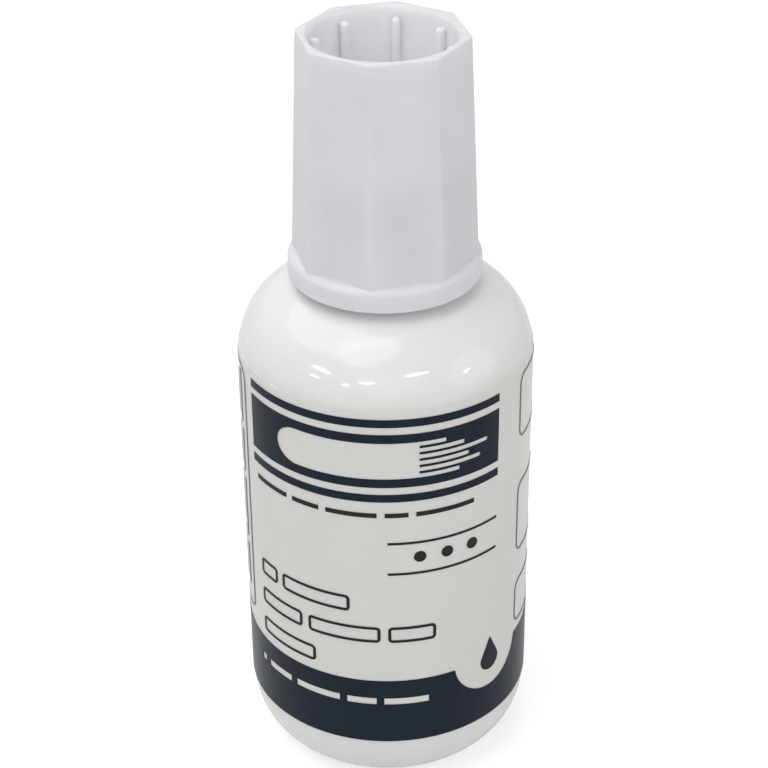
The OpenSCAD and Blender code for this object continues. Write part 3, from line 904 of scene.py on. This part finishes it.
def linerProfile(s):
    return roundOff([(s["hole"], s["foot"], 0), (s["radius"], s["foot"], 0.1), (s["radius"], s["top"], 0.1),
                     (s["hole"], s["top"], 0.05), (s["hole"], s["foot"], 0)])[:-1]


place("linerWasher", closeMesh(lathe("linerWasher", linerProfile(linerSizes), 128)), "linerFoam",
      "liner_body", ["cap_liner"])

stemLow, stemHigh = nodeBox("brush_stem")
stemSizes = {
    "foot": stemLow[2],
    "top": stemHigh[2],
    "plugFoot": 64.7,
    "plug": 1.6,
    "stem": 1.2,
    "holder": 1.7,
    "taperFoot": 21.2,
    "taperTop": 23.2,
    "root": 1.2,
    "rootDepth": 3.5,
}


def stemProfile(s):
    return roundOff([(s["root"], s["foot"], 0), (s["holder"], s["foot"], 0.2),
                     (s["holder"], s["taperFoot"], 0.6), (s["stem"], s["taperTop"], 0.6),
                     (s["stem"], s["plugFoot"], 0.3), (s["plug"], s["plugFoot"] + 0.05, 0.15),
                     (s["plug"], s["top"], 0.2), (0, s["top"], 0)]), [
        (0, s["foot"] + s["rootDepth"]), (s["root"], s["foot"] + s["rootDepth"])]


outer, hole = stemProfile(stemSizes)
place("brushStem", closeMesh(lathe("brushStem", hole + outer, 96)), "stemPlastic", "cap_body",
      ["brush_stem"])

tuftLow = nodeBox("brush_bristles")[0]
tuftRoot = stemSizes["foot"] + 0.6
tuftSizes = {"Filaments": 300, "Root Radius": 1.12 * mm, "Belly Radius": 1.84 * mm,
             "Tip Radius": 1.3 * mm, "Root Height": tuftRoot * mm, "Length": (tuftRoot - tuftLow[2]) * mm,
             "Filament Radius": 0.055 * mm, "Uneven Length": 0.05, "Stray": 0.12 * mm, "Seed": 7,
             "Material": materials["bristleNylon"]}
place("bristleTuft", closeMesh(runTree("bristleTuft", bristleTuft, tuftSizes)), "bristleNylon", "cap_body",
      ["brush_bristles"])
place("anchorWire", mergedCopy("brush_anchor"), "anchorBrass", "cap_body", ["brush_anchor"])

print("floor and light")
studio = {
    "floorSize": 4.0,
    "floorColour": (0.7, 0.7, 0.7),
    "floorRoughness": 0.9,
    "floorLift": (0.55, 0.85),  # light that the camera sees the floor give, near and far
    "liftReach": (0.1, 0.6),  # the near and the far distance
    "floorInReflections": 0.48,  # the share of that light which a reflection shows
    "worldStrength": 0.28,
    # place, aim, width, height in metres and strength in watts for each soft light
    "lights": {
        "keyLight": ((-0.11, -0.19, 0.58), (0.0, 0.0, 0.05), 0.36, 0.5, 0.72),
        "ceiling": ((-0.26, 0.18, 0.77), (0.0, 0.0, 0.05), 1.1, 0.9, 2.95),
        "frontFill": ((0.05, -0.6, 0.3), (0.0, 0.0, 0.05), 0.6, 0.4, 0.32),
        "rightFill": ((0.6, -0.2, 0.2), (0.0, 0.0, 0.05), 0.5, 0.5, 0.67),
        "leftStrip": ((-0.44, -0.32, 0.33), (0.0, 0.0, 0.05), 0.17, 0.055, 0.2),
        "leftStripLow": ((-0.485, -0.325, 0.215), (0.0, 0.0, 0.05), 0.1, 0.025, 0.08),
        "frontStrip": ((-0.15, -0.55, 0.29), (0.0, 0.0, 0.05), 0.13, 0.026, 0.12),
        "frontSpot": ((-0.3, -0.51, 0.225), (0.0, 0.0, 0.05), 0.06, 0.022, 0.08),
        "rightStrip": ((0.227, -0.466, 0.38), (0.0, 0.0, 0.05), 0.2, 0.036, 0.22),
        "rightSpot": ((0.53, -0.25, 0.21), (0.0, 0.0, 0.05), 0.06, 0.06, 0.06),
    },
}


def seenDirectly(tree, inReflections):
    # 1 for what the camera sees straight or through something, and a share of it in a reflection
    path = addNode(tree, "ShaderNodeLightPath")
    mirrored = mathNode(tree, "MULTIPLY", path.outputs["Is Glossy Ray"], inReflections)
    seen = mathNode(tree, "MAXIMUM", path.outputs["Is Camera Ray"], mirrored)
    return mathNode(tree, "MAXIMUM", seen, path.outputs["Is Transmission Ray"])


def makeFloor(s):
    half = s["floorSize"] / 2
    corners = [(-half, -half, 0), (half, -half, 0), (half, half, 0), (-half, half, 0)]
    mesh = bpy.data.meshes.new("floor")
    mesh.from_pydata(corners, [], [(0, 1, 2, 3)])
    material = bpy.data.materials.new("paleFloor")
    material.use_nodes = True
    tree = material.node_tree
    shader = tree.nodes["Principled BSDF"]
    shader.inputs["Base Color"].default_value = (*s["floorColour"], 1.0)
    shader.inputs["Roughness"].default_value = s["floorRoughness"]
    shader.inputs["Emission Color"].default_value = (1.0, 1.0, 1.0, 1.0)
    spot = addNode(tree, "ShaderNodeTexCoord").outputs["Object"]
    away = addNode(tree, "ShaderNodeVectorMath", {"operation": "LENGTH"}, links={0: spot})
    near, far = s["floorLift"]
    rise = addNode(tree, "ShaderNodeMapRange", values={
        "From Min": s["liftReach"][0], "From Max": s["liftReach"][1], "To Min": near, "To Max": far},
        links={"Value": away.outputs["Value"]})
    lift = mathNode(tree, "MULTIPLY", seenDirectly(tree, s["floorInReflections"]), rise.outputs[0])
    tree.links.new(lift, shader.inputs["Emission Strength"])
    mesh.materials.append(material)
    addObject("floor", mesh)


def makeWorld(strength):
    world = bpy.data.worlds.new("studio")
    world.use_nodes = True
    tree = world.node_tree
    background = tree.nodes["Background"]
    background.inputs["Color"].default_value = (1.0, 1.0, 1.0, 1.0)
    level = addNode(tree, "ShaderNodeMapRange", values={"To Min": strength, "To Max": 1.0},
                    links={"Value": seenDirectly(tree, 1.0)})
    tree.links.new(level.outputs[0], background.inputs["Strength"])
    scene.world = world


def makeLight(name, spot, aim, width, height, watts):
    data = bpy.data.lights.new(name, "AREA")
    data.shape = "ELLIPSE"
    data.size = width
    data.size_y = height
    data.energy = watts
    light = bpy.data.objects.new(name, data)
    scene.collection.objects.link(light)
    towards = Vector(aim) - Vector(spot)
    light.matrix_world = Matrix.Translation(spot) @ towards.to_track_quat("-Z", "Y").to_matrix().to_4x4()


makeFloor(studio)
makeWorld(studio["worldStrength"])
for lightName, lightValues in studio["lights"].items():
    makeLight(lightName, *lightValues)

scene.view_settings.view_transform = "Standard"
